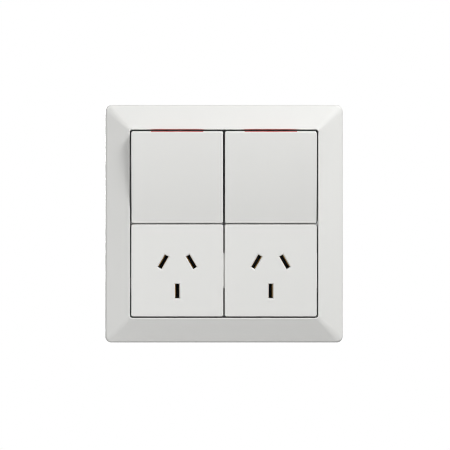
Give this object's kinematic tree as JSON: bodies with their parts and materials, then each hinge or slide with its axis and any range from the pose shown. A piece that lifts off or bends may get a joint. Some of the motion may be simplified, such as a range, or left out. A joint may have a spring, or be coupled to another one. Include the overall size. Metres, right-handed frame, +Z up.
{
  "type": "double socket outlet",
  "caption": "Square white wall outlet: a bevelled cover frame around rocker switches and the flat-pin sockets below them, on a support frame that is screwed to a wall box.",
  "frame": {"origin": "middle of the fixing slots, on the wall plane", "axes": "+X to the right as seen from the room, +Y into the wall, +Z up"},
  "size_m": [0.116, 0.0311, 0.116],
  "materials": {
    "white_plastic": "fine satin moulding",
    "support_plastic": "grey moulding",
    "body_plastic": "dark grey heat-proof moulding",
    "red_mark": "red inlay",
    "natural_nylon": "natural nylon",
    "brass": "stamped brass",
    "steel": "zinc-plated steel"
  },
  "bodies": {
    "outlet": {"cover_frame": "white_plastic", "support_frame": "support_plastic", "left_line_terminal": "brass", "left_load_terminal": "brass", "left_switch_screws": "steel", "left_switch_body": "body_plastic", "left_switch_frame": "white_plastic", "left_frame_screws": "steel", "left_socket_cover": "white_plastic", "left_socket_base": "body_plastic", "left_active_contact": "brass", "left_neutral_contact": "brass", "left_earth_contact": "brass", "left_socket_screws": "steel", "right_line_terminal": "brass", "right_load_terminal": "brass", "right_switch_screws": "steel", "right_switch_body": "body_plastic", "right_switch_frame": "white_plastic", "right_frame_screws": "steel", "right_socket_cover": "white_plastic", "right_socket_base": "body_plastic", "right_active_contact": "brass", "right_neutral_contact": "brass", "right_earth_contact": "brass", "right_socket_screws": "steel"},
    "left_rocker_body": {"left_rocker": "white_plastic", "left_on_mark": "red_mark", "left_plunger": "natural_nylon", "left_plunger_spring": "steel"},
    "left_seesaw": {"left_moving_contact": "brass"},
    "right_rocker_body": {"right_rocker": "white_plastic", "right_on_mark": "red_mark", "right_plunger": "natural_nylon", "right_plunger_spring": "steel"},
    "right_seesaw": {"right_moving_contact": "brass"}
  },
  "joints": [
    {"name": "left_rocker_turn", "type": "hinge", "parent": "outlet", "child": "left_rocker_body", "pos_m": [-0.0227, -0.0075, 0.0227], "axis": [1, 0, 0], "range_deg": [-12.6, 0]},
    {"name": "left_seesaw_turn", "type": "hinge", "parent": "outlet", "child": "left_seesaw", "pos_m": [-0.0227, 0.00285, 0.0227], "axis": [1, 0, 0], "range_deg": [0, 10]},
    {"name": "right_rocker_turn", "type": "hinge", "parent": "outlet", "child": "right_rocker_body", "pos_m": [0.0227, -0.0075, 0.0227], "axis": [1, 0, 0], "range_deg": [-12.6, 0]},
    {"name": "right_seesaw_turn", "type": "hinge", "parent": "outlet", "child": "right_seesaw", "pos_m": [0.0227, 0.00285, 0.0227], "axis": [1, 0, 0], "range_deg": [0, 10]}
  ],
  "couplings": [
    {"joint": "left_seesaw_turn", "follows": "left_rocker_turn", "ratio": -0.79365},
    {"joint": "right_seesaw_turn", "follows": "right_rocker_turn", "ratio": -0.79365}
  ]
}
